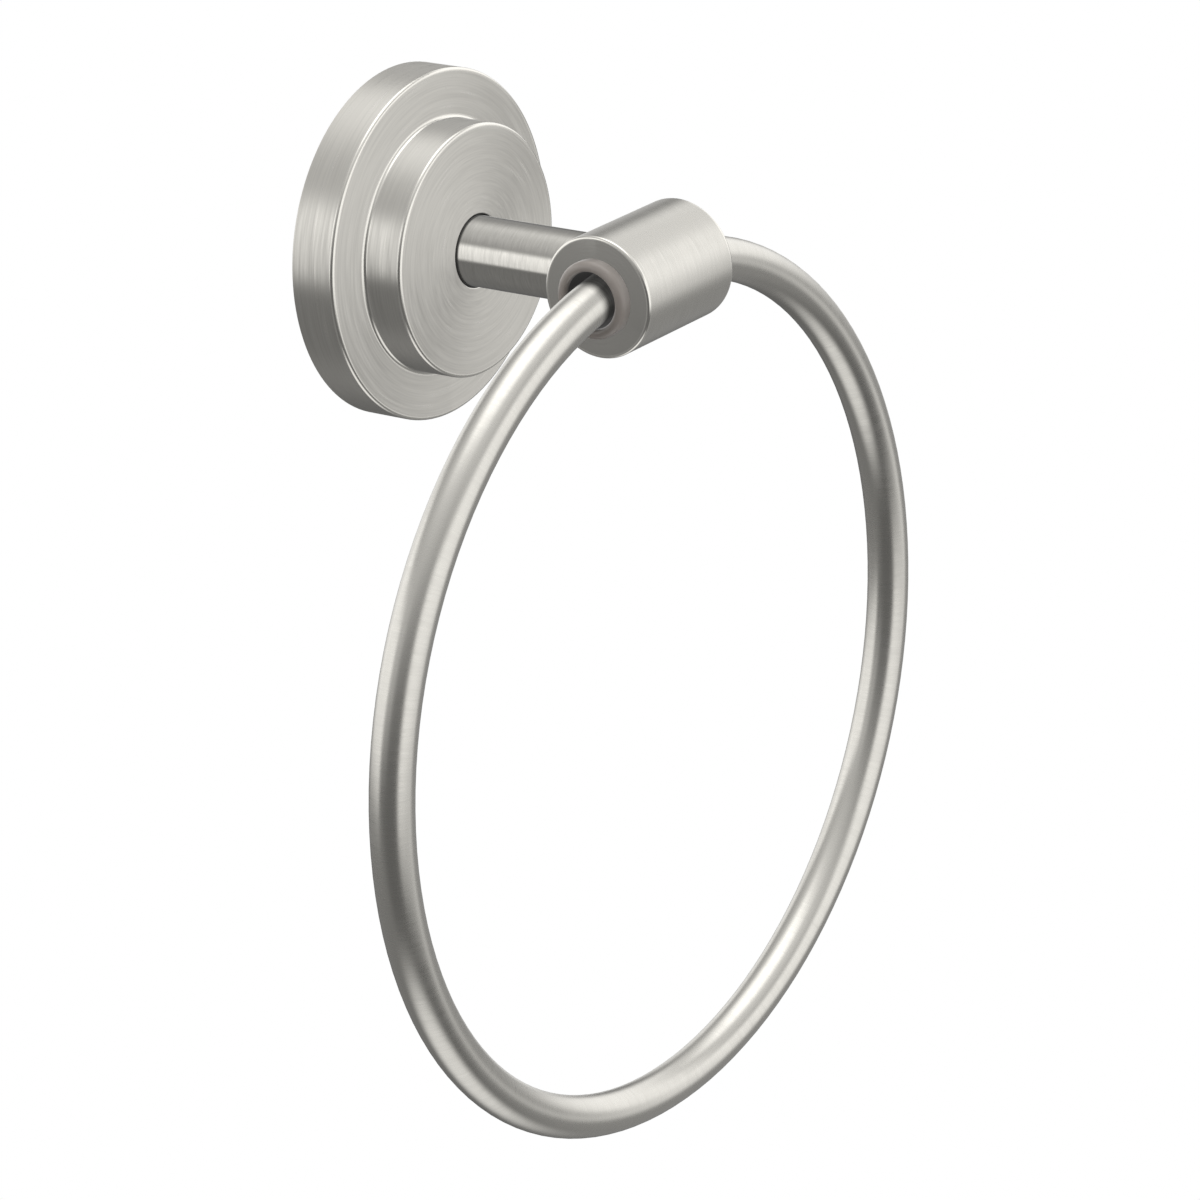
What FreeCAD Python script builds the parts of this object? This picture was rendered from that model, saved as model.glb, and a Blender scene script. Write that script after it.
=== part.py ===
import FreeCAD, Part
import Sketcher
import os

from FreeCAD import Vector

# Towel ring for a bathroom wall: a stepped round flange on a hidden bracket, a
# straight post, a short cross cylinder and a large round ring that swings in it.
#
# Frame: +X to the right, +Y into the wall, +Z up. The origin is where the axis
# of the post meets the wall. Everything stands out from the wall towards -Y.

# Driving sizes in millimetres.
SIZES = {
    # Wall flange, a hollow casting with a smaller round step on its face
    "flange_diameter": 65.0,
    "flange_depth": 9.3,
    "flange_rim_wall": 2.6,
    "flange_face_wall": 2.4,
    "step_diameter": 46.8,
    "step_depth": 8.1,
    "step_side_wall": 4.0,
    "step_face_wall": 3.5,
    "edge_round": 0.6,
    "corner_fillet": 0.6,
    "back_chamfer": 0.3,
    "hub_diameter": 16.0,
    "hub_thickness": 4.0,
    # Seat of the post in the face of the step, with a key that stops it turning
    "recess_depth": 1.5,
    "recess_gap": 0.35,
    "recess_round": 0.2,
    "key_width": 2.4,
    "key_height": 1.0,
    "key_length": 3.0,
    "key_gap": 0.15,
    # Bracket in the hollow of the flange, a ring with a flat at its top and bottom
    "bracket_gap": 5.9,
    "bracket_headroom": 0.9,
    "bracket_flat_depth": 2.3,
    "bracket_lip": 1.0,
    "bevel_undercut": 1.7,
    "bracket_hole_diameter": 4.8,
    "bracket_sink_diameter": 9.2,
    "bracket_opening_gap": 2.25,
    "bracket_round": 0.5,
    # Hook in the flange that hangs on the bracket's top flat
    "hook_width": 14.0,
    "hook_inset": 0.6,
    # Set screw through the bottom of the rim, and the boss it runs in
    "set_screw_diameter": 4.0,
    "set_screw_bevel_inset": 1.0,
    "set_screw_inset": 1.0,
    "set_screw_tip_flat": 0.8,
    "set_screw_key": 2.0,
    "set_screw_key_depth": 2.5,
    "set_screw_chamfer": 0.4,
    "boss_width": 8.0,
    "boss_gap": 3.2,
    "thread_gap": 0.05,
    # Post, a straight tube
    "post_diameter": 13.0,
    "bolt_clearance": 0.3,
    # Bolt that draws the cross cylinder and the post onto the flange
    "bolt_diameter": 5.0,
    "bolt_engagement": 8.8,
    "bolt_tip_gap": 1.4,
    "bolt_chamfer": 0.5,
    "bolt_head_diameter": 9.5,
    "bolt_head_height": 3.6,
    "bolt_head_round": 1.4,
    "driver_slot_width": 1.1,
    "driver_slot_length": 5.0,
    "driver_slot_depth": 2.0,
    "washer_thickness": 1.2,
    "washer_width": 1.9,
    "washer_slot": 0.7,
    "washer_slant": 0.8,
    # Cross cylinder that holds the ring, with a solid web between two blind bores
    "projection": 53.1,
    "holder_diameter": 22.4,
    "holder_length": 26.5,
    "holder_round": 0.5,
    "web_thickness": 10.0,
    "bore_chamfer": 0.3,
    # Plastic bushes in the bores, each with a rounded lip outside
    "bush_gap": 0.04,
    "bush_wall": 1.1,
    "bush_end_gap": 0.65,
    "bush_play": 1.25,
    "lip_width": 0.8,
    "lip_thickness": 2.5,
    "lip_round": 1.1,
    "mouth_round": 0.7,
    # Ring, one round bar bent to a circle whose two ends hide in the bushes
    "ring_diameter": 160.0,
    "bar_diameter": 8.0,
    "bar_end_round": 0.5,
    "bar_end_gap": 1.2,
    "crossing_inset": 1.65,
}

# Formulas used by more than one piece. Distances out from the wall are positive
# here and get their minus sign where they are used.
FLANGE_RADIUS = "dims.flange_diameter / 2"
RIM_INSIDE = f"({FLANGE_RADIUS} - dims.flange_rim_wall)"
RIM_CEILING = "(dims.flange_depth - dims.flange_face_wall)"
STEP_FACE = "(dims.flange_depth + dims.step_depth)"
STEP_INSIDE = "(dims.step_diameter / 2 - dims.step_side_wall)"
STEP_CEILING = f"({STEP_FACE} - dims.step_face_wall)"
RECESS_FLOOR = f"({STEP_FACE} - dims.recess_depth)"
RECESS_RADIUS = "(dims.post_diameter / 2 + dims.recess_gap)"
HUB_BACK = f"({RECESS_FLOOR} - dims.hub_thickness)"
BOLT_HOLE = "(dims.bolt_diameter / 2 + dims.bolt_clearance)"
BRACKET_RADIUS = f"({RIM_INSIDE} - dims.bracket_gap)"
BRACKET_FRONT = f"({RIM_CEILING} - dims.bracket_headroom)"
BRACKET_FLAT = f"({BRACKET_RADIUS} - dims.bracket_flat_depth)"
BEVEL_DEPTH = f"({BRACKET_FRONT} - dims.bracket_lip)"
BEVEL_SLOPE = f"dims.bevel_undercut / {BEVEL_DEPTH}"
BEVEL_FOOT = f"({BRACKET_FLAT} - dims.bevel_undercut)"
BOSS_INSIDE = f"({BRACKET_FLAT} + dims.boss_gap)"
SCREW_DEPTH = f"({BEVEL_DEPTH} - dims.set_screw_bevel_inset)"
SCREW_RADIUS = "(dims.set_screw_diameter / 2)"
SCREW_TIP_RADIUS = "(dims.set_screw_tip_flat / 2)"
SCREW_TIP = f"({BEVEL_FOOT} + ({SCREW_DEPTH} + {SCREW_TIP_RADIUS}) * {BEVEL_SLOPE})"
SCREW_LENGTH = f"({FLANGE_RADIUS} - dims.set_screw_inset - {SCREW_TIP})"
SCREW_HOLE = f"({SCREW_RADIUS} + dims.thread_gap)"
HOLDER_RADIUS = "(dims.holder_diameter / 2)"
HOLDER_END = "(dims.holder_length / 2)"
WEB_FACE = "(dims.web_thickness / 2)"
BAR_RADIUS = "(dims.bar_diameter / 2)"
BUSH_INSIDE = f"({BAR_RADIUS} + dims.bush_play)"
BUSH_OUTSIDE = f"({BUSH_INSIDE} + dims.bush_wall)"
BUSH_BORE = f"({BUSH_OUTSIDE} + dims.bush_gap)"
LIP_RADIUS = f"({BUSH_OUTSIDE} + dims.lip_width)"
LIP_FACE = f"({HOLDER_END} + dims.lip_thickness)"
WASHER_BACK = f"({HUB_BACK} - dims.washer_thickness)"
BOLT_END = f"(dims.projection - {HOLDER_RADIUS} + dims.bolt_engagement)"
BOLT_RADIUS = "(dims.bolt_diameter / 2)"
RING_RADIUS = "(dims.ring_diameter / 2)"
BAR_END = f"({WEB_FACE} + dims.bar_end_gap)"
CROSSING = f"({HOLDER_END} - dims.crossing_inset)"
RING_DROP = f"sqrt({RING_RADIUS} ^ 2 - {CROSSING} ^ 2)"

doc = FreeCAD.newDocument("towel_ring")
sheet = doc.addObject("Spreadsheet::Sheet", "dims")
for row, (name, number) in enumerate(SIZES.items(), start=1):
    sheet.set(f"A{row}", name)
    sheet.set(f"B{row}", str(number))
    sheet.setAlias(f"B{row}", name)
doc.recompute()


def value(formula):
    """The number that a formula in the sheet's sizes gives now."""
    result = sheet.evalExpression(formula)
    return float(getattr(result, "Value", result))


def new_body(name):
    """An empty body whose label names the node."""
    body = doc.addObject("PartDesign::Body", name)
    body.Label = name
    return body


def new_sketch(body, name, plane, offset="0"):
    """A sketch on one of the body's origin planes, moved along the plane's normal.

    The normals are +Z for the XY plane, -Y for the XZ plane and +X for the YZ plane.
    """
    sketch = body.newObject("Sketcher::SketchObject", f"{body.Name}_{name}")
    support = [item for item in body.Origin.OriginFeatures if item.Role == plane]
    sketch.AttachmentSupport = [(support[0], "")]
    sketch.MapMode = "FlatFace"
    sketch.setExpression(".AttachmentOffset.Base.z", offset)
    return sketch


def pin(sketch, geometry, point, across, along):
    """Hold a point of the sketch at the place that two formulas give."""
    for kind, axis, formula in (("DistanceX", -2, across), ("DistanceY", -1, along)):
        if formula == "0":
            sketch.addConstraint(Sketcher.Constraint("PointOnObject", geometry, point, axis))
            continue
        held = Sketcher.Constraint(kind, -1, 1, geometry, point, value(formula))
        index = sketch.addConstraint(held)
        sketch.setExpression(f"Constraints[{index}]", formula)


def draw_outline(sketch, corners):
    """A closed outline of straight lines through corners given as pairs of formulas."""
    first = sketch.GeometryCount
    count = len(corners)
    points = [Vector(value(across), value(along), 0) for across, along in corners]
    for index, start in enumerate(points):
        sketch.addGeometry(Part.LineSegment(start, points[(index + 1) % count]), False)
    for index in range(count):
        following = first + (index + 1) % count
        sketch.addConstraint(Sketcher.Constraint("Coincident", first + index, 2, following, 1))
    for index, (across, along) in enumerate(corners):
        pin(sketch, first + index, 1, across, along)


def draw_circle(sketch, radius, across="0", along="0"):
    """A circle whose radius and centre are formulas."""
    centre = Vector(value(across), value(along), 0)
    index = sketch.addGeometry(Part.Circle(centre, Vector(0, 0, 1), value(radius)), False)
    pin(sketch, index, 3, across, along)
    held = sketch.addConstraint(Sketcher.Constraint("Radius", index, value(radius)))
    sketch.setExpression(f"Constraints[{held}]", radius)


def turn(body, sketch, axis, angle="360"):
    """Turn the sketch about its own H or V axis, equally to both sides of its plane."""
    feature = body.newObject("PartDesign::Revolution", f"{body.Name}_turned")
    feature.Profile = sketch
    feature.ReferenceAxis = (sketch, [axis])
    feature.Midplane = True
    feature.setExpression("Angle", angle)
    doc.recompute()
    return feature


def extrude(body, sketch, kind, length, middle=False, reverse=False):
    """Pad or Pocket the sketch by a length, both ways where middle is true."""
    before = body.Shape.Volume if body.Tip else 0.0
    feature = body.newObject(f"PartDesign::{kind}", f"{sketch.Name}_{kind.lower()}")
    feature.Profile = sketch
    feature.Reversed = reverse
    if middle:
        feature.SideType = "Symmetric"
    feature.setExpression("Length", length)
    doc.recompute()
    grown = feature.Shape.Volume - before
    if (grown > 0) != (kind == "Pad"):
        raise ValueError(f"{feature.Name} changes the volume the wrong way: {grown}")
    return feature


def circles(shape, axis, *wanted):
    """Names of the circular edges about an axis, by pairs of radius and place along it."""
    names = []
    for index, edge in enumerate(shape.Edges, start=1):
        curve = edge.Curve
        if not isinstance(curve, Part.Circle) or abs(curve.Axis.dot(axis)) < 0.999:
            continue
        for radius, place in wanted:
            size_fits = abs(curve.Radius - value(radius)) < 1e-4
            place_fits = abs(curve.Center.dot(axis) - value(place)) < 1e-4
            if size_fits and place_fits:
                names.append(f"Edge{index}")
    return names


def dress(body, kind, size, names):
    """Fillet or Chamfer the named edges of the body's last feature."""
    last = body.Tip
    feature = body.newObject(f"PartDesign::{kind}", f"{last.Name}_{kind.lower()}")
    feature.Base = (last, names)
    feature.setExpression("Radius" if kind == "Fillet" else "Size", size)
    doc.recompute()
    return feature


ALONG_X = Vector(1, 0, 0)
ALONG_Y = Vector(0, 1, 0)
ALONG_Z = Vector(0, 0, 1)


def make_flange():
    """Stepped hollow flange with its hub, hook, screw boss and post seat."""
    body = new_body("wall_flange")
    profile = new_sketch(body, "profile", "XY_Plane")
    draw_outline(profile, [
        (BOLT_HOLE, f"-{HUB_BACK}"),
        ("dims.hub_diameter / 2", f"-{HUB_BACK}"),
        ("dims.hub_diameter / 2", f"-{STEP_CEILING}"),
        (STEP_INSIDE, f"-{STEP_CEILING}"),
        (STEP_INSIDE, f"-{RIM_CEILING}"),
        (RIM_INSIDE, f"-{RIM_CEILING}"),
        (RIM_INSIDE, "0"),
        (FLANGE_RADIUS, "0"),
        (FLANGE_RADIUS, "-dims.flange_depth"),
        ("dims.step_diameter / 2", "-dims.flange_depth"),
        ("dims.step_diameter / 2", f"-{STEP_FACE}"),
        (RECESS_RADIUS, f"-{STEP_FACE}"),
        (RECESS_RADIUS, f"-{RECESS_FLOOR}"),
        (BOLT_HOLE, f"-{RECESS_FLOOR}"),
    ])
    turned = turn(body, profile, "V_Axis")
    outer_edges = circles(
        turned.Shape, ALONG_Y,
        (FLANGE_RADIUS, "-dims.flange_depth"),
        ("dims.step_diameter / 2", f"-{STEP_FACE}"))
    dress(body, "Fillet", "dims.edge_round", outer_edges)
    corner = circles(
        body.Tip.Shape, ALONG_Y, ("dims.step_diameter / 2", "-dims.flange_depth"))
    dress(body, "Fillet", "dims.corner_fillet", corner)
    mouth = circles(body.Tip.Shape, ALONG_Y, (RECESS_RADIUS, f"-{STEP_FACE}"))
    dress(body, "Fillet", "dims.recess_round", mouth)
    back = circles(body.Tip.Shape, ALONG_Y, (FLANGE_RADIUS, "0"))
    dress(body, "Chamfer", "dims.back_chamfer", back)

    # The hook's underside lies flush on the bevel of the bracket's top flat.
    hook_back = "dims.hook_inset"
    hook_front = f"({BEVEL_DEPTH} - dims.hook_inset)"
    hook_root = (f"sqrt(({FLANGE_RADIUS} - dims.flange_rim_wall / 3) ^ 2"
                 " - (dims.hook_width / 2) ^ 2)")
    hook = new_sketch(body, "hook", "YZ_Plane")
    draw_outline(hook, [
        (f"-{hook_back}", f"{BEVEL_FOOT} + {hook_back} * {BEVEL_SLOPE}"),
        (f"-{hook_front}", f"{BEVEL_FOOT} + {hook_front} * {BEVEL_SLOPE}"),
        (f"-{hook_front}", hook_root),
        (f"-{hook_back}", hook_root),
    ])
    extrude(body, hook, "Pad", "dims.hook_width", middle=True)

    boss_root = (f"sqrt(({FLANGE_RADIUS} - dims.flange_rim_wall / 3) ^ 2"
                 " - (dims.boss_width / 2) ^ 2)")
    boss_front = f"({RIM_CEILING} + dims.flange_face_wall / 4)"
    boss = new_sketch(body, "boss", "YZ_Plane")
    draw_outline(boss, [
        ("-dims.hook_inset", f"-{BOSS_INSIDE}"),
        (f"-{boss_front}", f"-{BOSS_INSIDE}"),
        (f"-{boss_front}", f"-{boss_root}"),
        ("-dims.hook_inset", f"-{boss_root}"),
    ])
    extrude(body, boss, "Pad", "dims.boss_width", middle=True)

    screw_hole = new_sketch(body, "screw_hole", "XY_Plane", f"-{BEVEL_FOOT}")
    draw_circle(screw_hole, SCREW_HOLE, "0", f"-{SCREW_DEPTH}")
    extrude(body, screw_hole, "Pocket", FLANGE_RADIUS)

    # The key stands on the floor of the recess, at its top, and reaches into its wall.
    key_outside = f"({RECESS_RADIUS} + dims.recess_gap)"
    key = new_sketch(body, "key", "XZ_Plane", RECESS_FLOOR)
    draw_outline(key, [
        ("-dims.key_width / 2", f"{RECESS_RADIUS} - dims.key_length"),
        ("dims.key_width / 2", f"{RECESS_RADIUS} - dims.key_length"),
        ("dims.key_width / 2", key_outside),
        ("-dims.key_width / 2", key_outside),
    ])
    extrude(body, key, "Pad", "dims.key_height")
    return body


def make_bracket():
    """Round plate with two flats, each undercut so that the flange hooks onto it.

    The opening in its middle leaves room for the head of the bolt. The two screw
    holes stand midway between the opening and the plate's edge.
    """
    body = new_body("wall_bracket")
    opening = "(dims.bolt_head_diameter / 2 + dims.bracket_opening_gap)"
    plate = new_sketch(body, "plate", "XZ_Plane")
    draw_circle(plate, BRACKET_RADIUS)
    draw_circle(plate, opening)
    extrude(body, plate, "Pad", BRACKET_FRONT)
    front = circles(body.Tip.Shape, ALONG_Y, (BRACKET_RADIUS, f"-{BRACKET_FRONT}"))
    dress(body, "Fillet", "dims.bracket_round", front)

    beyond = f"{BRACKET_RADIUS} + dims.bracket_gap"
    past_front = f"({BRACKET_FRONT} + dims.bevel_undercut)"
    past_back = "dims.bevel_undercut"
    foot_past_back = f"({BEVEL_FOOT} - {past_back} * {BEVEL_SLOPE})"
    for name, up in (("top_flat", ""), ("bottom_flat", "-1 * ")):
        flat = new_sketch(body, name, "YZ_Plane")
        draw_outline(flat, [
            (past_back, f"{up}{foot_past_back}"),
            (f"-{BEVEL_DEPTH}", f"{up}{BRACKET_FLAT}"),
            (f"-{past_front}", f"{up}{BRACKET_FLAT}"),
            (f"-{past_front}", f"{up}({beyond})"),
            (past_back, f"{up}({beyond})"),
        ])
        extrude(body, flat, "Pocket", f"2 * {BRACKET_RADIUS}", middle=True)

    holes = new_sketch(body, "holes", "XZ_Plane", BRACKET_FRONT)
    hole_place = f"({opening} + {BRACKET_RADIUS}) / 2"
    for side in ("-", ""):
        draw_circle(holes, "dims.bracket_hole_diameter / 2", f"{side}{hole_place}")
    extrude(body, holes, "Pocket", BRACKET_FRONT)
    sink_depth = "(dims.bracket_sink_diameter - dims.bracket_hole_diameter) / 2"
    mouths = [
        f"Edge{index}" for index, edge in enumerate(body.Tip.Shape.Edges, start=1)
        if isinstance(edge.Curve, Part.Circle)
        and abs(edge.Curve.Radius - value("dims.bracket_hole_diameter / 2")) < 1e-4
        and abs(edge.Curve.Center.y + value(BRACKET_FRONT)) < 1e-4]
    dress(body, "Chamfer", sink_depth, mouths)
    return body


def make_post():
    """Straight tube, keyed to the flange and coped to the cross cylinder."""
    body = new_body("post")
    section = new_sketch(body, "section", "XZ_Plane", RECESS_FLOOR)
    draw_circle(section, "dims.post_diameter / 2")
    draw_circle(section, BOLT_HOLE)
    extrude(body, section, "Pad", f"dims.projection - {RECESS_FLOOR}")

    cope = new_sketch(body, "cope", "YZ_Plane")
    draw_circle(cope, HOLDER_RADIUS, "-dims.projection")
    extrude(body, cope, "Pocket", "2 * dims.post_diameter", middle=True)

    notch_floor = f"({RECESS_RADIUS} - dims.key_length - dims.key_gap)"
    notch_half = "(dims.key_width / 2 + dims.key_gap)"
    notch = new_sketch(body, "notch", "XZ_Plane", f"{RECESS_FLOOR} + dims.key_height + dims.key_gap")
    draw_outline(notch, [
        (f"-{notch_half}", notch_floor),
        (notch_half, notch_floor),
        (notch_half, "dims.post_diameter"),
        (f"-{notch_half}", "dims.post_diameter"),
    ])
    extrude(body, notch, "Pocket", "dims.key_height + 2 * dims.key_gap")
    return body


def make_holder():
    """Cross cylinder with a blind bore from each end and a bolt hole from behind."""
    body = new_body("ring_holder")
    profile = new_sketch(body, "profile", "XY_Plane")
    draw_outline(profile, [
        (f"-{WEB_FACE}", "0"),
        (f"-{WEB_FACE}", BUSH_BORE),
        (f"-{HOLDER_END}", BUSH_BORE),
        (f"-{HOLDER_END}", HOLDER_RADIUS),
        (HOLDER_END, HOLDER_RADIUS),
        (HOLDER_END, BUSH_BORE),
        (WEB_FACE, BUSH_BORE),
        (WEB_FACE, "0"),
    ])
    turned = turn(body, profile, "H_Axis")
    ends = circles(turned.Shape, ALONG_X,
                   (HOLDER_RADIUS, HOLDER_END), (HOLDER_RADIUS, f"-{HOLDER_END}"))
    dress(body, "Fillet", "dims.holder_round", ends)
    mouths = circles(body.Tip.Shape, ALONG_X,
                     (BUSH_BORE, HOLDER_END), (BUSH_BORE, f"-{HOLDER_END}"))
    dress(body, "Chamfer", "dims.bore_chamfer", mouths)

    bottom = f"({HOLDER_RADIUS} - dims.bolt_engagement - dims.bolt_tip_gap)"
    thread = new_sketch(body, "thread", "XZ_Plane", f"-{bottom}")
    draw_circle(thread, f"{BOLT_RADIUS} + dims.thread_gap")
    extrude(body, thread, "Pocket", HOLDER_RADIUS)
    body.setExpression("Placement.Base.y", "-dims.projection")
    return body


def make_bush(name, turned_round):
    """Plain sleeve with a rounded lip, seated on one end of the cross cylinder."""
    body = new_body(name)
    inner_end = f"({WEB_FACE} + dims.bush_end_gap)"
    profile = new_sketch(body, "profile", "XY_Plane")
    draw_outline(profile, [
        (inner_end, BUSH_INSIDE),
        (inner_end, BUSH_OUTSIDE),
        (HOLDER_END, BUSH_OUTSIDE),
        (HOLDER_END, LIP_RADIUS),
        (LIP_FACE, LIP_RADIUS),
        (LIP_FACE, BUSH_INSIDE),
    ])
    turned = turn(body, profile, "H_Axis")
    dress(body, "Fillet", "dims.lip_round", circles(turned.Shape, ALONG_X, (LIP_RADIUS, LIP_FACE)))
    mouth = circles(body.Tip.Shape, ALONG_X, (BUSH_INSIDE, LIP_FACE))
    dress(body, "Fillet", "dims.mouth_round", mouth)
    if turned_round:
        body.Placement.Rotation = FreeCAD.Rotation(ALONG_Z, 180)
    body.setExpression("Placement.Base.y", "-dims.projection")
    return body


def make_ring():
    """Round bar bent to a circle that is open at the top, inside the holder."""
    body = new_body("ring")
    section = new_sketch(body, "section", "YZ_Plane")
    draw_circle(section, BAR_RADIUS, "0", f"-{RING_RADIUS}")
    turned = turn(body, section, "H_Axis", f"360 deg - 2 * asin({BAR_END} / {RING_RADIUS})")
    ends = [
        f"Edge{index}" for index, edge in enumerate(turned.Shape.Edges, start=1)
        if isinstance(edge.Curve, Part.Circle)
        and abs(edge.Curve.Radius - value(BAR_RADIUS)) < 1e-4]
    dress(body, "Fillet", "dims.bar_end_round", ends)
    body.setExpression("Placement.Base.y", "-dims.projection")
    body.setExpression("Placement.Base.z", f"-{RING_DROP}")
    return body


def make_bolt():
    """Pan-head bolt from inside the flange, through the post, into the holder."""
    body = new_body("post_bolt")
    head_back = f"({WASHER_BACK} - dims.bolt_head_height)"
    profile = new_sketch(body, "profile", "XY_Plane")
    draw_outline(profile, [
        ("0", f"-{head_back}"),
        ("dims.bolt_head_diameter / 2", f"-{head_back}"),
        ("dims.bolt_head_diameter / 2", f"-{WASHER_BACK}"),
        (BOLT_RADIUS, f"-{WASHER_BACK}"),
        (BOLT_RADIUS, f"-{BOLT_END}"),
        ("0", f"-{BOLT_END}"),
    ])
    turned = turn(body, profile, "V_Axis")
    crown = circles(turned.Shape, ALONG_Y, ("dims.bolt_head_diameter / 2", f"-{head_back}"))
    dress(body, "Fillet", "dims.bolt_head_round", crown)
    tip = circles(body.Tip.Shape, ALONG_Y, (BOLT_RADIUS, f"-{BOLT_END}"))
    dress(body, "Chamfer", "dims.bolt_chamfer", tip)

    arm = "dims.driver_slot_length / 2"
    half = "dims.driver_slot_width / 2"
    cross = new_sketch(body, "cross", "XZ_Plane", head_back)
    draw_outline(cross, [
        (f"-{arm}", f"-{half}"), (f"-{half}", f"-{half}"), (f"-{half}", f"-{arm}"),
        (half, f"-{arm}"), (half, f"-{half}"), (arm, f"-{half}"),
        (arm, half), (half, half), (half, arm),
        (f"-{half}", arm), (f"-{half}", half), (f"-{arm}", half),
    ])
    extrude(body, cross, "Pocket", "dims.driver_slot_depth", reverse=True)
    return body


def make_washer():
    """Split spring washer under the bolt's head, pressed flat."""
    body = new_body("lock_washer")
    section = new_sketch(body, "section", "XZ_Plane", WASHER_BACK)
    draw_circle(section, BOLT_HOLE)
    draw_circle(section, f"{BOLT_HOLE} + dims.washer_width")
    extrude(body, section, "Pad", "dims.washer_thickness")

    slant = "dims.washer_slant / 2"
    half = "dims.washer_slot / 2"
    slot = new_sketch(body, "slot", "XY_Plane")
    draw_outline(slot, [
        (f"-{slant} - {half}", f"-{WASHER_BACK}"),
        (f"-{slant} + {half}", f"-{WASHER_BACK}"),
        (f"{slant} + {half}", f"-{HUB_BACK}"),
        (f"{slant} - {half}", f"-{HUB_BACK}"),
    ])
    extrude(body, slot, "Pocket", f"{BOLT_HOLE} + 2 * dims.washer_width", reverse=True)
    return body


def make_set_screw():
    """Headless screw whose cone bears on the bevel of the bracket's bottom flat."""
    body = new_body("set_screw")
    shoulder = f"({SCREW_RADIUS} - {SCREW_TIP_RADIUS})"
    profile = new_sketch(body, "profile", "XZ_Plane")
    draw_outline(profile, [
        ("0", "0"),
        (SCREW_TIP_RADIUS, "0"),
        (SCREW_RADIUS, f"-{shoulder}"),
        (SCREW_RADIUS, f"-{SCREW_LENGTH}"),
        ("0", f"-{SCREW_LENGTH}"),
    ])
    turned = turn(body, profile, "V_Axis")
    end = circles(turned.Shape, ALONG_Z, (SCREW_RADIUS, f"-{SCREW_LENGTH}"))
    dress(body, "Chamfer", "dims.set_screw_chamfer", end)

    corner = "dims.set_screw_key / sqrt(3)"
    socket = new_sketch(body, "socket", "XY_Plane", f"-{SCREW_LENGTH}")
    draw_outline(socket, [
        (corner, "0"),
        (f"{corner} / 2", "dims.set_screw_key / 2"),
        (f"-{corner} / 2", "dims.set_screw_key / 2"),
        (f"-{corner}", "0"),
        (f"-{corner} / 2", "-dims.set_screw_key / 2"),
        (f"{corner} / 2", "-dims.set_screw_key / 2"),
    ])
    extrude(body, socket, "Pocket", "dims.set_screw_key_depth", reverse=True)
    body.setExpression("Placement.Base.y", f"-{SCREW_DEPTH}")
    body.setExpression("Placement.Base.z", f"-{SCREW_TIP}")
    return body


pieces = [
    make_flange(),
    make_bracket(),
    make_post(),
    make_holder(),
    make_bush("bush_left", True),
    make_bush("bush_right", False),
    make_ring(),
    make_bolt(),
    make_washer(),
    make_set_screw(),
]
doc.recompute()

for item in doc.Objects:
    if "Invalid" in item.State or "Error" in item.State:
        raise ValueError(f"{item.Name}: {item.getStatusString()}")
for piece in pieces:
    if piece.Shape.isNull() or not piece.Shape.isValid() or len(piece.Shape.Solids) != 1:
        raise ValueError(f"{piece.Label} is not one valid solid")

os.makedirs("parts", exist_ok=True)
for piece in pieces:
    piece.Shape.exportStep(f"parts/{piece.Label}.step")
    box = piece.Shape.BoundBox
    print(f"{piece.Label:14s} volume {piece.Shape.Volume:10.1f}"
          f"  x {box.XMin:7.2f} {box.XMax:7.2f}"
          f"  y {box.YMin:7.2f} {box.YMax:7.2f}"
          f"  z {box.ZMin:7.2f} {box.ZMax:7.2f}")
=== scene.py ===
import math

import bpy
from mathutils import Matrix, Vector

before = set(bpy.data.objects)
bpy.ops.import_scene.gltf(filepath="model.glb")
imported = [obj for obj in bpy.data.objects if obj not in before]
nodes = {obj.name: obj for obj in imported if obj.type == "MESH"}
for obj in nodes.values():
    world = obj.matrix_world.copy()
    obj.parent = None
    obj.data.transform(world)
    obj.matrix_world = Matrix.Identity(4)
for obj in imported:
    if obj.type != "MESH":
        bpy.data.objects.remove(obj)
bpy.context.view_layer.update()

MM = 0.001

# Sizes repeated from the part's source, in metres.
PROJECTION = 53.1 * MM
RING_RADIUS = 80.0 * MM
RING_DROP = 79.155 * MM
BAR_RADIUS = 4.0 * MM

WALL_AXIS = Vector((0.0, 1.0, 0.0))
CROSS_AXIS = Vector((1.0, 0.0, 0.0))
WALL_CENTRE = Vector((0.0, 0.0, 0.0))
HOLDER_CENTRE = Vector((0.0, -PROJECTION, 0.0))
RING_CENTRE = Vector((0.0, -PROJECTION, -RING_DROP))

# Rounded edges: radius and place along the axis of the sharp corner, and its round,
# which is negative in an inner corner.
FLANGE_EDGES = (
    (32.5 * MM, -9.3 * MM, 0.6 * MM),
    (23.4 * MM, -17.4 * MM, 0.6 * MM),
    (23.4 * MM, -9.3 * MM, -0.6 * MM),
)
HOLDER_EDGES = (
    (11.2 * MM, -13.25 * MM, 0.5 * MM),
    (11.2 * MM, 13.25 * MM, 0.5 * MM),
)

# The two parts of the flange's hollow: radius, and place of the end away from the wall.
RIM_HOLLOW_RADIUS, RIM_HOLLOW_END = 29.95 * MM, -6.95 * MM
STEP_HOLLOW_RADIUS, STEP_HOLLOW_END = 19.45 * MM, -15.8 * MM

# The recess that seats the post: its radius, and where its wall begins below the face.
RECESS_RADIUS = 6.9 * MM
RECESS_MOUTH = -17.3 * MM
# Painted shade: the post darkens into the recess between these places.
POST_ROOT = (-17.95 * MM, -17.45 * MM)

# The flat ends of the holder: just inside their distance from the middle, and their radius.
HOLDER_END = 13.2 * MM
HOLDER_END_RADIUS = 10.6 * MM

# Where the bushes' inner wall begins behind the rounded lip, and the depth in which
# painted shade darkens it.
THROAT_RADIUS = 5.4 * MM
THROAT_PLACE = 15.2 * MM
THROAT_FADE = 0.8 * MM
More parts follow.
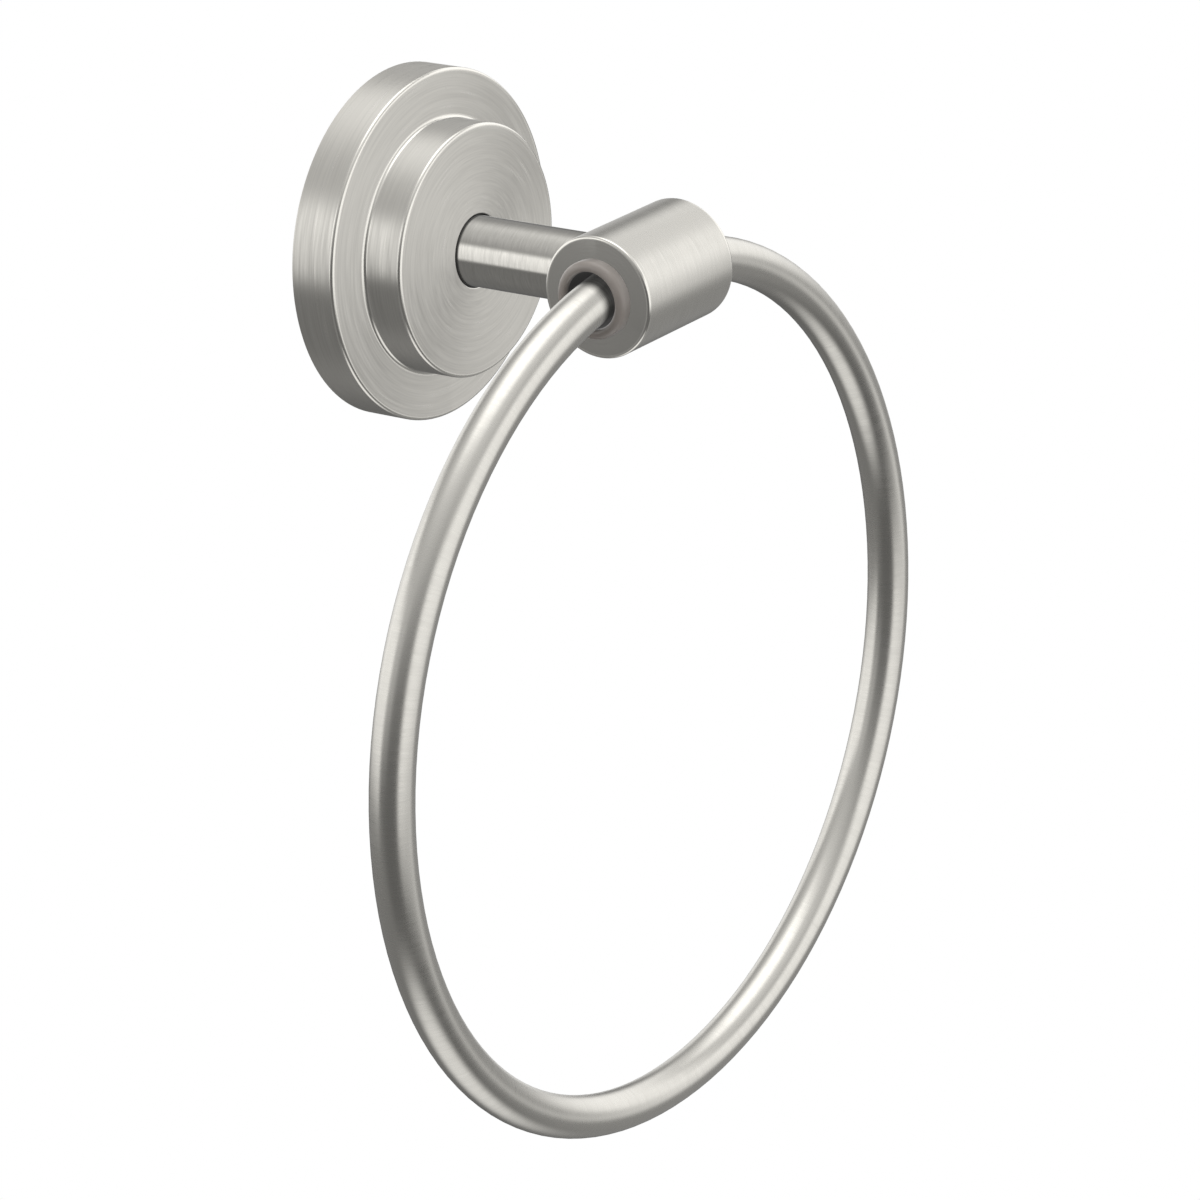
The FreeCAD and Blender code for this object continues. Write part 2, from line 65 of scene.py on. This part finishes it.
# Painted shade: the bar darkens into the bushes between these distances from the middle,
# by this share.
BAR_THROAT = (14.9 * MM, 17.6 * MM)
BAR_THROAT_SHADE = 0.96

# Noise lies about 0.5, most of it between these values. Its scales are in steps a metre.
NOISE_SPAN = (0.3, 0.7)

# Nickel's fine hair: its share of the streaks, beside broader bands, and its bump.
HAIR_SHARE = 0.7
HAIR_RELIEF = 0.125
HAIR_DEPTH = 0.02 * MM

# Finish of the edges that wear and polishing have smoothed, lighter as a painted
# highlight, and the distances from the sharp corner between which it ends.
EDGE_HIGHLIGHT_BASE = 0.84
EDGE_SMOOTHNESS = 0.6
EDGE_REACH = (0.60 * MM, 0.80 * MM)

# Finish of the holder's turned ends beside that of its brushed side: smoother, and darker
# as painted shade.
END_PAINTED_SHADE = 0.12
END_SMOOTHNESS = 0.55

# Shares of red, green and blue.
NICKEL_TINT = (1.0, 0.974, 0.908)
ZINC_DULL = (0.86, 0.88, 0.90)
ZINC_BRIGHT = (1.08, 1.09, 1.10)

WHITE = (1.0, 1.0, 1.0, 1.0)
PLASTIC_DARK = (0.385, 0.345, 0.315, 1.0)
PLASTIC_LIGHT = (0.43, 0.388, 0.355, 1.0)
# Painted shade down the bushes' throat:
PLASTIC_THROAT_SHADE = (0.03, 0.027, 0.025, 1.0)
FLOOR_DARK = (0.86, 0.86, 0.855, 1.0)
FLOOR_LIGHT = (0.90, 0.90, 0.895, 1.0)

# Points closer than this are joined for the shading, and steeper edges stay sharp.
SEAM = 0.002 * MM
SHARP_ANGLE = 32

# Bright panels of the room: azimuth, elevation, width, height and soft edge in degrees,
# and level.
PANELS = (
    (13, 0, 80, 46, 20, 0.96),
    (84, 17, 60, 37, 20, 0.94),
    (78, -27, 62, 66, 28, 0.17),
    (-149, 7, 62, 39, 13, 0.92),
    (108, 80, 48, 50, 24, 0.95),
    (-104, 16, 38, 34, 18, 0.26),
    (-150, -40, 90, 46, 26, 0.08),
    (120, -14, 26, 12, 10, 0.70),
    (18, 44, 48, 22, 20, 0.18),
)
# The backdrop is a panel that shows as white in metal. Its level is for other light.
BACKDROP = (158, 3, 48, 26, 22)
BACKDROP_LEVEL = 1.15
# The room brightens upwards: from and to which elevation, and from and to which level.
CEILING = (-8, 82, 0.14, 0.84)

FLOOR_CENTRE = Vector((-0.20, -0.16, -1.0))
FLOOR_RADIUS = 0.74
FLOOR_CORNERS = 96
# The floor fades out between these shares of its radius.
FLOOR_FADE = (0.30, 0.98)

CAMERA_PLACE = Vector((-0.67374, -0.53029, 0.25734))
CAMERA_AZIMUTH = -54.125
CAMERA_ELEVATION = 20.83
CAMERA_ROLL = -2.657
CAMERA_LENS = 145.76
CAMERA_SENSOR = 36.0
CAMERA_SHIFT = (-0.0064, -0.0183)
CAMERA_CLIP = (0.01, 50.0)


# Shader graphs
class Graph:
    """Adds and links the nodes of one shader tree."""

    def __init__(self, tree):
        tree.nodes.clear()
        self.tree = tree

    def feed(self, socket, value):
        """Links a socket, or sets its own value."""
        if isinstance(value, bpy.types.NodeSocket):
            self.tree.links.new(value, socket)
        else:
            socket.default_value = value

    def add(self, kind, inputs=None, **settings):
        """A node of this kind, with settings and inputs by name."""
        node = self.tree.nodes.new("ShaderNode" + kind)
        for name, setting in settings.items():
            setattr(node, name, setting)
        for name, value in (inputs or {}).items():
            self.feed(node.inputs[name], value)
        return node

    def math(self, operation, *values):
        """One operation on numbers."""
        node = self.add("Math", operation=operation)
        for socket, value in zip(node.inputs, values):
            self.feed(socket, value)
        return node.outputs[0]

    def vector(self, operation, *values):
        """One operation on vectors."""
        node = self.add("VectorMath", operation=operation)
        for socket, value in zip(node.inputs, values):
            self.feed(socket, value)
        number = operation in ("DOT_PRODUCT", "LENGTH")
        return node.outputs["Value" if number else "Vector"]

    def scale(self, vector, factor):
        """A vector times a number."""
        node = self.add("VectorMath", {"Scale": factor}, operation="SCALE")
        self.feed(node.inputs[0], vector)
        return node.outputs["Vector"]

    def combine(self, x, y, z=0.0):
        """A vector from its numbers."""
        return self.add("CombineXYZ", {"X": x, "Y": y, "Z": z}).outputs[0]

    def remap(self, value, low, high, to_low=0.0, to_high=1.0, smooth=False):
        """Value moved from one span to another, held inside it."""
        kind = "SMOOTHSTEP" if smooth else "LINEAR"
        spans = {"Value": value, "From Min": low, "From Max": high,
                 "To Min": to_low, "To Max": to_high}
        return self.add("MapRange", spans, interpolation_type=kind).outputs["Result"]

    def noise(self, vector, w=0.0, scale=1.0, detail=2.0, distortion=0.0):
        """Noise in four dimensions, about 0.5."""
        return self.add(
            "TexNoise",
            {"Vector": vector, "W": w, "Scale": scale, "Detail": detail,
             "Distortion": distortion},
            noise_dimensions="4D").outputs["Fac"]

    def spread(self, noise, low=0.0, high=1.0):
        """Noise stretched from its usual span to this one."""
        return self.remap(noise, *NOISE_SPAN, low, high)

    def times_where(self, value, share, factor):
        """Value, times factor where share is 1."""
        return self.math("MULTIPLY", value, self.remap(share, 0.0, 1.0, 1.0, factor))

    def mix(self, share, first, second):
        """Colour between two colours."""
        node = self.add("Mix", data_type="RGBA")
        for index, value in ((0, share), (6, first), (7, second)):
            self.feed(node.inputs[index], value)
        return node.outputs[2]

    def shader(self, kind, inputs=None):
        """The shader that a node of this kind gives."""
        return self.add(kind, inputs).outputs[0]

    def mix_shaders(self, share, first, second):
        """Shader between two shaders."""
        return self.shader("MixShader", {0: share, 1: first, 2: second})

    def close(self, shader, kind="OutputMaterial"):
        """Links a shader to the tree's output."""
        self.add(kind, {"Surface": shader})


def new_material(name):
    """An empty node material and its graph."""
    material = bpy.data.materials.new(name)
    material.use_nodes = True
    return material, Graph(material.node_tree)


def tinted(value, tint):
    """A colour from a level and its shares of red, green and blue."""
    return (*(value * share for share in tint), 1.0)


def grey(value):
    """A nickel grey, a little warm."""
    return tinted(value, NICKEL_TINT)


# Materials
def turned_coordinates(graph, axis, centre):
    """Offset from the centre, radius, place along the axis and outward direction."""
    position = graph.add("TexCoord").outputs["Object"]
    offset = graph.vector("SUBTRACT", position, centre)
    along = graph.vector("DOT_PRODUCT", offset, axis)
    radial = graph.vector("SUBTRACT", offset, graph.scale(axis, along))
    radius = graph.vector("LENGTH", radial)
    outward = graph.vector("NORMALIZE", radial)
    return offset, radius, along, outward


def in_world(graph, vector):
    """Unit vector of the piece, turned with it into the world."""
    turned = graph.add(
        "VectorTransform", {"Vector": vector},
        vector_type="VECTOR", convert_from="OBJECT", convert_to="WORLD")
    return graph.vector("NORMALIZE", turned.outputs[0])


def rounded_normal(graph, axis, radius, along, outward, corners):
    """Normal of the piece, exact on its rounded edges, where the mesh shows facets."""
    normal = graph.add("TexCoord").outputs["Normal"]
    for edge_radius, place, round_size in corners:
        size, way = abs(round_size), math.copysign(1, round_size)
        middle = place - math.copysign(1, place) * round_size
        across = graph.math("SUBTRACT", radius, edge_radius - round_size)
        beside = graph.math("SUBTRACT", along, middle)
        away = graph.vector(
            "ADD", graph.scale(outward, across), graph.scale(axis, beside))
        facing = graph.vector("NORMALIZE", graph.scale(away, way))
        near = graph.math(
            "MULTIPLY",
            graph.math("COMPARE", radius, edge_radius, size),
            graph.math("COMPARE", along, place, size))
        normal = graph.vector(
            "ADD",
            graph.scale(normal, graph.math("SUBTRACT", 1.0, near)),
            graph.scale(facing, near))
    return normal


def worn_and_highlighted_edges(graph, radius, along, corners):
    """1 on the rounded edges, smoothed by wear and lighter as a painted highlight, and 0
    beyond them.
    """
    worn_and_highlighted = 0.0
    for edge_radius, place, _ in corners:
        across = graph.math("SUBTRACT", radius, edge_radius)
        beside = graph.math("SUBTRACT", along, place)
        away = graph.vector("LENGTH", graph.combine(across, beside))
        near = graph.remap(away, *EDGE_REACH, 1.0, 0.0, smooth=True)
        worn_and_highlighted = graph.math("MAXIMUM", worn_and_highlighted, near)
    return worn_and_highlighted


def brushed(graph, hair, band, normal, groove, base, roughness, anisotropic, tone, fray,
            worn_and_highlighted=None, ends=None):
    """Brushed nickel from two streak patterns and the direction of its grooves.

    The streaks change the colour by the share tone, and the roughness by the share fray.
    The two last arguments are 1 on the rounded edges, smoothed by wear and lighter as a
    painted highlight, and on the turned end faces, darker as painted shade.
    """
    streak = graph.math(
        "ADD",
        graph.math("MULTIPLY", hair, HAIR_SHARE),
        graph.math("MULTIPLY", band, 1.0 - HAIR_SHARE))
    dull, bright = grey(base * (1 - tone)), grey(base * (1 + tone))
    colour = graph.mix(graph.spread(streak), dull, bright)
    rough = graph.spread(streak, roughness * (1 + fray), roughness * (1 - fray))
    relief = HAIR_RELIEF
    # Painted highlight: the rounded edges are lighter, as well as smoother from polishing.
    if worn_and_highlighted is not None:
        colour = graph.mix(worn_and_highlighted, colour, grey(EDGE_HIGHLIGHT_BASE))
        rough = graph.times_where(rough, worn_and_highlighted, EDGE_SMOOTHNESS)
        relief = graph.remap(worn_and_highlighted, 0.0, 1.0, HAIR_RELIEF, 0.0)
    # Painted shade: the turned end faces are darker, as well as smoother.
    if ends is not None:
        shade = graph.math("MULTIPLY", ends, END_PAINTED_SHADE)
        colour = graph.mix(shade, colour, grey(0.0))
        rough = graph.times_where(rough, ends, END_SMOOTHNESS)
    bump = graph.add("Bump", {
        "Height": hair, "Strength": relief, "Distance": HAIR_DEPTH,
        "Normal": in_world(graph, normal)})
    across = in_world(graph, graph.vector("CROSS_PRODUCT", normal, groove))
    return graph.shader("BsdfPrincipled", {
        "Base Color": colour, "Metallic": 1.0, "Roughness": rough,
        "Anisotropic": anisotropic, "Tangent": across, "Normal": bump.outputs[0]})


def with_painted_shade(graph, shader, share, level, roughness):
    """The shader with a dull dark grey painted over it as shade, where share is 1."""
    dark = graph.shader("BsdfPrincipled", {
        "Base Color": grey(level), "Metallic": 0.0, "Roughness": roughness})
    return graph.mix_shaders(share, shader, dark)


def turned_nickel(name, axis, centre, changes, corners=(), details=None, ends=None,
                  **finish):
    """Nickel brushed round an axis, on the rims and on the flat faces alike.

    changes is how often the hair fades in and out round the axis, and finish is what
    brushed() takes. details changes the shader, and ends marks turned end faces.
    """
    material, graph = new_material(name)
    offset, radius, along, outward = turned_coordinates(graph, axis, centre)
    side = Vector((0.0, 0.0, 1.0))
    turn_a = graph.vector("DOT_PRODUCT", outward, side)
    turn_b = graph.vector("DOT_PRODUCT", outward, axis.cross(side))

    def streaks(pitch, changes, detail):
        """Lines this far apart that fade in and out round the axis."""
        vector = graph.combine(
            graph.math("MULTIPLY", radius, 1.0 / pitch),
            graph.math("MULTIPLY", along, 1.0 / pitch),
            graph.math("MULTIPLY", turn_a, changes))
        return graph.noise(vector, graph.math("MULTIPLY", turn_b, changes), detail=detail)

    shader = brushed(
        graph,
        hair=streaks(pitch=0.30 * MM, changes=changes, detail=2.0),
        band=streaks(pitch=0.80 * MM, changes=changes * 0.7, detail=1.0),
        normal=rounded_normal(graph, axis, radius, along, outward, corners),
        groove=graph.vector("CROSS_PRODUCT", axis, offset),
        worn_and_highlighted=worn_and_highlighted_edges(graph, radius, along, corners) if corners else None,
        ends=ends(graph, radius, along) if ends else None,
        **finish)
    if details:
        shader = details(graph, shader, radius, along)
    graph.close(shader)
    return material


def bar_nickel(name, **finish):
    """Nickel brushed round the section of the ring's bar, with painted shade where it runs
    into the bushes. finish is as above.
    """
    material, graph = new_material(name)
    offset, radius, along, _ = turned_coordinates(graph, WALL_AXIS, RING_CENTRE)
    split = graph.add("SeparateXYZ", {"Vector": offset})
    aside, above = split.outputs["X"], split.outputs["Z"]
    turn = graph.math("ARCTAN2", aside, graph.math("MULTIPLY", above, -1.0))
    run = graph.math("MULTIPLY", turn, RING_RADIUS)
    out = graph.math("SUBTRACT", radius, RING_RADIUS)

    def streaks(pitch, changes, detail):
        """Lines this far apart along the bar that fade in and out round its section."""
        vector = graph.combine(
            graph.math("MULTIPLY", run, 1.0 / pitch),
            graph.math("MULTIPLY", out, changes / BAR_RADIUS),
            graph.math("MULTIPLY", along, changes / BAR_RADIUS))
        return graph.noise(vector, detail=detail, distortion=0.15)

    normal = graph.add("TexCoord").outputs["Normal"]
    length_way = graph.vector("CROSS_PRODUCT", WALL_AXIS, offset)
    nickel = brushed(
        graph,
        hair=streaks(pitch=0.40 * MM, changes=0.8, detail=2.0),
        band=streaks(pitch=1.60 * MM, changes=0.5, detail=1.0),
        normal=normal,
        groove=graph.vector("CROSS_PRODUCT", normal, length_way),
        **finish)
    # Painted shade on the upper half of the bar where it runs into the bushes.
    upper_half = graph.math("GREATER_THAN", above, 0.0)
    beside = graph.math("ABSOLUTE", aside)
    depth = graph.remap(beside, *BAR_THROAT, BAR_THROAT_SHADE, 0.0, smooth=True)
    bar_throat_shade = graph.math("MULTIPLY", depth, upper_half)
    graph.close(with_painted_shade(graph, nickel, bar_throat_shade, level=0.04, roughness=0.8))
    return material


def turned_ends(graph, radius, along):
    """1 on the flat ends of the holder, and 0 elsewhere."""
    flat = graph.math("GREATER_THAN", graph.math("ABSOLUTE", along), HOLDER_END)
    inner = graph.math("LESS_THAN", radius, HOLDER_END_RADIUS)
    return graph.math("MULTIPLY", flat, inner)


def painted_shade_at_post_root(graph, shader, radius, along):
    """Painted shade: a dark line where the post enters its recess."""
    inside = graph.remap(along, *POST_ROOT, smooth=True)
    return with_painted_shade(graph, shader, inside, level=0.10, roughness=0.7)


def painted_shade_in_recess(graph, shader, radius, along):
    """Painted shade: dark walls of the shallow recess that seats the post."""
    inside = graph.math("LESS_THAN", radius, RECESS_RADIUS)
    not_face = graph.math("GREATER_THAN", along, RECESS_MOUTH)
    not_hollow = graph.math("LESS_THAN", along, STEP_HOLLOW_END)
    recess_shade = graph.math("MULTIPLY", inside, graph.math("MULTIPLY", not_face, not_hollow))
    return with_painted_shade(graph, shader, recess_shade, level=0.03, roughness=0.8)


def hollow_of_casting(graph, shader, radius, along):
    """Plain blasted surface inside the hollow of the flange, seen only from behind."""
    outer = graph.math(
        "MULTIPLY",
        graph.math("LESS_THAN", radius, RIM_HOLLOW_RADIUS),
        graph.math("GREATER_THAN", along, RIM_HOLLOW_END))
    inner = graph.math(
        "MULTIPLY",
        graph.math("LESS_THAN", radius, STEP_HOLLOW_RADIUS),
        graph.math("GREATER_THAN", along, STEP_HOLLOW_END))
    inside = graph.math("MAXIMUM", outer, inner)
    position = graph.add("TexCoord").outputs["Object"]
    grain = graph.noise(position, scale=2600.0, detail=3.0)
    cloud = graph.noise(position, scale=160.0, detail=2.0)
    colour = graph.mix(cloud, grey(0.34), grey(0.46))
    rough = graph.spread(grain, 0.48, 0.62)
    bump = graph.add("Bump", {"Height": grain, "Strength": 0.5, "Distance": 0.05 * MM})
    cast = graph.shader("BsdfPrincipled", {
        "Base Color": colour, "Metallic": 0.4, "Roughness": rough,
        "Normal": bump.outputs[0]})
    return graph.mix_shaders(inside, shader, cast)


def flange_details(graph, shader, radius, along):
    """What isn't brushed on the flange: painted shade in the post's recess, and the cast
    hollow.
    """
    shader = painted_shade_in_recess(graph, shader, radius, along)
    return hollow_of_casting(graph, shader, radius, along)


def zinc(name, base, spangle, roughness, metallic=1.0):
    """Zinc plate with a fine cloudy grain, spangle being the scale of the clouds."""
    material, graph = new_material(name)
    position = graph.add("TexCoord").outputs["Object"]
    cloud = graph.noise(position, scale=spangle, detail=3.0, distortion=0.4)
    grain = graph.noise(position, scale=3000.0, detail=2.0)
    colour = graph.mix(
        graph.spread(cloud), tinted(base, ZINC_DULL), tinted(base, ZINC_BRIGHT))
    rough = graph.spread(grain, roughness * 0.85, roughness * 1.15)
    bump = graph.add("Bump", {"Height": grain, "Strength": 0.25, "Distance": 0.02 * MM})
    graph.close(graph.shader("BsdfPrincipled", {
        "Base Color": colour, "Metallic": metallic, "Roughness": rough,
        "Normal": bump.outputs[0]}))
    return material


def moulded_plastic(name):
    """Glossy taupe plastic with a faint unevenness; dark and dull down the throat as
    painted shade.
    """
    material, graph = new_material(name)
    position = graph.add("TexCoord").outputs["Object"]
    cloud = graph.noise(position, scale=220.0, detail=2.0)
    ripple = graph.noise(position, scale=700.0, detail=1.0)
    _, radius, along, _ = turned_coordinates(graph, CROSS_AXIS, HOLDER_CENTRE)
    narrow = graph.math("LESS_THAN", radius, THROAT_RADIUS)
    depth = graph.math("SUBTRACT", THROAT_PLACE, graph.math("ABSOLUTE", along))
    # Painted shade: dark and dull down the throat.
    bush_throat_shade = graph.math("MULTIPLY", narrow, graph.remap(depth, 0.0, THROAT_FADE))
    outside = graph.mix(graph.spread(cloud), PLASTIC_DARK, PLASTIC_LIGHT)
    colour = graph.mix(bush_throat_shade, outside, PLASTIC_THROAT_SHADE)
    rough = graph.math(
        "ADD", graph.spread(cloud, 0.16, 0.24), graph.math("MULTIPLY", bush_throat_shade, 0.4))
    bump = graph.add("Bump", {"Height": ripple, "Strength": 0.08, "Distance": 0.1 * MM})
    graph.close(graph.shader("BsdfPrincipled", {
        "Base Color": colour, "Roughness": rough, "IOR": 1.5,
        "Normal": bump.outputs[0]}))
    return material


materials = {
    "wall_flange": turned_nickel(
        "nickel_turned_flange", WALL_AXIS, WALL_CENTRE, changes=2.6,
        corners=FLANGE_EDGES, details=flange_details,
        base=0.70, roughness=0.34, anisotropic=0.70, tone=0.08, fray=0.25),
    # The post's nickel is a little darker than the rest, as painted shade.
    "post": turned_nickel(
        "nickel_brushed_post", WALL_AXIS, WALL_CENTRE, changes=2.6,
        details=painted_shade_at_post_root,
        base=0.65, roughness=0.145, anisotropic=0.10, tone=0.09, fray=0.4),
    "ring_holder": turned_nickel(
        "nickel_brushed_holder", CROSS_AXIS, HOLDER_CENTRE, changes=2.4,
        corners=HOLDER_EDGES, ends=turned_ends,
        base=0.70, roughness=0.26, anisotropic=0.20, tone=0.04, fray=0.2),
    "ring": bar_nickel(
        "nickel_brushed_bar",
        base=0.70, roughness=0.28, anisotropic=0.10, tone=0.025, fray=0.15),
    "wall_bracket": zinc(
        "zinc_bracket", base=0.50, spangle=130.0, roughness=0.42, metallic=0.55),
    "post_bolt": zinc("zinc_plated_bolt", base=0.62, spangle=400.0, roughness=0.3),
    "lock_washer": zinc("zinc_plated_washer", base=0.58, spangle=400.0, roughness=0.34),
    "set_screw": zinc("black_oxide_screw", base=0.05, spangle=500.0, roughness=0.4),
}
plastic = moulded_plastic("taupe_plastic_bush")
materials["bush_left"] = plastic
materials["bush_right"] = plastic
for name, material in materials.items():
    mesh = nodes[name].data
    mesh.materials.clear()
    mesh.materials.append(material)


def even_shading(piece):
    """Hides the seams of the CAD faces: one smooth shading over them, sharp edges kept."""
    weld = piece.modifiers.new("joined_seams", "WELD")
    weld.merge_threshold = SEAM
    split = piece.modifiers.new("sharp_edges", "EDGE_SPLIT")
    split.split_angle = math.radians(SHARP_ANGLE)
    split.use_edge_sharp = False
    even = piece.modifiers.new("even_normals", "WEIGHTED_NORMAL")
    even.mode = "FACE_AREA_WITH_ANGLE"
    even.keep_sharp = False


for name in ("wall_flange", "post", "ring_holder", "ring", "bush_left", "bush_right"):
    even_shading(nodes[name])
# As in the photograph, the pieces aren't mirrored in each other's nickel.
for node in nodes.values():
    node.visible_glossy = False


# Surroundings
def heading(azimuth, elevation):
    """Unit vector: azimuth 0 is in front of the wall, 90 to the right, both in degrees."""
    turn, rise = math.radians(azimuth), math.radians(elevation)
    level = math.cos(rise)
    return Vector((math.sin(turn) * level, -math.cos(turn) * level, math.sin(rise)))


def rightwards(azimuth):
    """Level unit vector, square to the heading at this azimuth."""
    turn = math.radians(azimuth)
    return Vector((math.cos(turn), math.sin(turn), 0.0))


def softbox(graph, direction, azimuth, elevation, width, height, edge, level):
    """A soft-edged bright panel of the room, with its angles in degrees."""
    out, right = heading(azimuth, elevation), rightwards(azimuth)
    ahead = graph.vector("DOT_PRODUCT", direction, out)
    aside = graph.vector("DOT_PRODUCT", direction, right)
    above = graph.vector("DOT_PRODUCT", direction, out.cross(right))
    sideways = graph.math("ABSOLUTE", graph.math("ARCTAN2", aside, ahead))
    upwards = graph.math("ABSOLUTE", graph.math("ARCSINE", above))
    shares = []
    for angle, span in ((sideways, width), (upwards, height)):
        near = math.radians((span - edge) / 2)
        far = math.radians((span + edge) / 2)
        shares.append(graph.remap(angle, near, far, 1.0, 0.0, smooth=True))
    return graph.math("MULTIPLY", graph.math("MULTIPLY", *shares), level)


def room():
    """Studio round the object: bright panels in a dim room, and white to the camera."""
    world = bpy.data.worlds.new("studio")
    bpy.context.scene.world = world
    world.use_nodes = True
    graph = Graph(world.node_tree)
    direction = graph.add("TexCoord").outputs["Generated"]
    height = graph.add("SeparateXYZ", {"Vector": direction}).outputs["Z"]
    low, high, dim, bright = CEILING
    total = graph.remap(
        graph.math("ARCSINE", height), math.radians(low), math.radians(high),
        dim, bright, smooth=True)
    for panel in PANELS:
        total = graph.math("ADD", total, softbox(graph, direction, *panel))
    behind = softbox(graph, direction, *BACKDROP, 1.0)
    total = graph.math("ADD", total, graph.math("MULTIPLY", behind, BACKDROP_LEVEL))
    surroundings = graph.shader("Background", {
        "Color": graph.combine(total, total, total), "Strength": 1.0})
    white = graph.shader("Background", {"Color": WHITE, "Strength": 1.0})
    rays = graph.add("LightPath").outputs
    mirrored = graph.math("MAXIMUM", rays["Is Glossy Ray"], rays["Is Transmission Ray"])
    backdrop = graph.math("MULTIPLY", mirrored, behind)
    seen = graph.math("MAXIMUM", rays["Is Camera Ray"], backdrop)
    graph.close(graph.mix_shaders(seen, surroundings, white), "OutputWorld")


room()


# Floor
def floor():
    """Pale round floor below the object, white as the background in the metal."""
    points = [(0.0, 0.0, 0.0)]
    for index in range(FLOOR_CORNERS):
        turn = 2 * math.pi * index / FLOOR_CORNERS
        points.append((FLOOR_RADIUS * math.cos(turn), FLOOR_RADIUS * math.sin(turn), 0.0))
    faces = [
        (0, index + 1, (index + 1) % FLOOR_CORNERS + 1) for index in range(FLOOR_CORNERS)]
    mesh = bpy.data.meshes.new("floor")
    mesh.from_pydata(points, [], faces)
    plate = bpy.data.objects.new("floor", mesh)
    plate.location = FLOOR_CENTRE
    bpy.context.scene.collection.objects.link(plate)

    material, graph = new_material("pale_floor")
    position = graph.add("TexCoord").outputs["Object"]
    cloud = graph.noise(position, scale=6.0, detail=2.0)
    colour = graph.mix(cloud, FLOOR_DARK, FLOOR_LIGHT)
    pale = graph.shader("BsdfPrincipled", {"Base Color": colour, "Roughness": 0.7})
    lit = graph.shader("Emission", {"Color": WHITE, "Strength": 1.0})
    rays = graph.add("LightPath").outputs
    mirrored = graph.math("MAXIMUM", rays["Is Glossy Ray"], rays["Is Transmission Ray"])
    face = graph.mix_shaders(mirrored, pale, lit)
    near, far = FLOOR_FADE
    edge = graph.remap(
        graph.vector("LENGTH", position), FLOOR_RADIUS * near, FLOOR_RADIUS * far,
        smooth=True)
    below = graph.add("NewGeometry").outputs["Backfacing"]
    clear = graph.math("MAXIMUM", edge, below)
    graph.close(graph.mix_shaders(clear, face, graph.shader("BsdfTransparent")))
    mesh.materials.append(material)


floor()


# Camera
def camera():
    """The photograph's viewpoint."""
    back, level = heading(CAMERA_AZIMUTH, CAMERA_ELEVATION), rightwards(CAMERA_AZIMUTH)
    roll = math.radians(CAMERA_ROLL)
    right = math.cos(roll) * level + math.sin(roll) * back.cross(level)
    up = back.cross(right)
    data = bpy.data.cameras.new("camera")
    data.sensor_width = CAMERA_SENSOR
    data.lens = CAMERA_LENS
    data.shift_x, data.shift_y = CAMERA_SHIFT
    data.clip_start, data.clip_end = CAMERA_CLIP
    eye = bpy.data.objects.new("camera", data)
    place = Matrix((right, up, back)).transposed().to_4x4()
    place.translation = CAMERA_PLACE
    eye.matrix_world = place
    bpy.context.scene.collection.objects.link(eye)
    bpy.context.scene.camera = eye


camera()

bpy.context.scene.view_settings.view_transform = "Standard"
